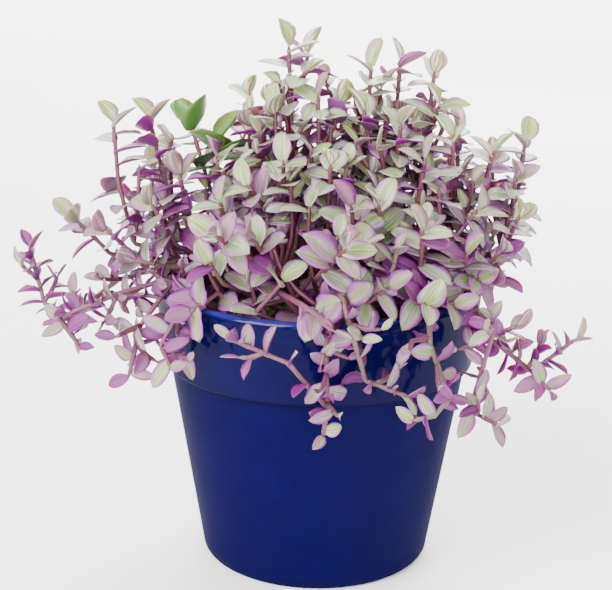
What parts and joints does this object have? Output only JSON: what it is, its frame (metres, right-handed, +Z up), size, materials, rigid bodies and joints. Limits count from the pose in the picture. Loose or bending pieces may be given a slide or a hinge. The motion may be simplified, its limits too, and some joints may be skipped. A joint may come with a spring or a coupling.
{
  "type": "potted turtle vine",
  "caption": "Tapered glazed pot with a thicker rim band, filled with soil, holding a mound of striped leafy stems that trail over the rim.",
  "frame": {"origin": "centre of the pot's flat base", "axes": "+Z up, -Y towards the front seen in the picture"},
  "size_m": [0.2395, 0.2048, 0.2319],
  "materials": {
    "cobalt_glaze": "gloss",
    "potting_soil": "matte",
    "pale_leaf": "satin",
    "pink_leaf": "satin",
    "green_leaf": "satin"
  },
  "bodies": {
    "root": {"back_01": "pale_leaf", "back_02": "pale_leaf", "back_03": "pale_leaf", "back_04": "pale_leaf", "back_05": "pale_leaf", "back_06": "pale_leaf", "back_07": "pale_leaf", "back_08": "pale_leaf", "back_09": "pale_leaf", "crown_front": "pale_leaf", "crown_left": "pale_leaf", "crown_mid": "pale_leaf", "front_fan": "pale_leaf", "front_left": "pale_leaf", "front_mid": "pale_leaf", "front_right": "pale_leaf", "front_top": "pale_leaf", "green_sprig": "green_leaf", "left_crown": "pale_leaf", "left_edge": "pale_leaf", "left_front": "pale_leaf", "left_inner": "pale_leaf", "left_low": "pale_leaf", "left_mid": "pale_leaf", "left_tall": "pale_leaf", "left_top": "pale_leaf", "pot": "cobalt_glaze", "right_edge": "pale_leaf", "right_front": "pale_leaf", "right_inner": "pale_leaf", "right_low": "pale_leaf", "right_mid": "pale_leaf", "right_top": "pale_leaf", "rim_edge": "pink_leaf", "rim_far": "pink_leaf", "rim_front": "pink_leaf", "rim_left": "pink_leaf", "rim_right": "pink_leaf", "soil": "potting_soil", "soil_left": "pink_leaf", "soil_mid": "pink_leaf", "spire_left": "pale_leaf", "spire_mid": "pale_leaf", "spire_right": "pale_leaf", "trail_arm": "pink_leaf", "trail_back": "pink_leaf", "trail_back_left": "pink_leaf", "trail_back_right": "pink_leaf", "trail_bow": "pink_leaf", "trail_drop": "pink_leaf", "trail_far": "pink_leaf", "trail_front": "pink_leaf", "trail_hook": "pink_leaf", "trail_left": "pink_leaf", "trail_rose": "pink_leaf", "trail_star": "pink_leaf"}
  },
  "joints": []
}
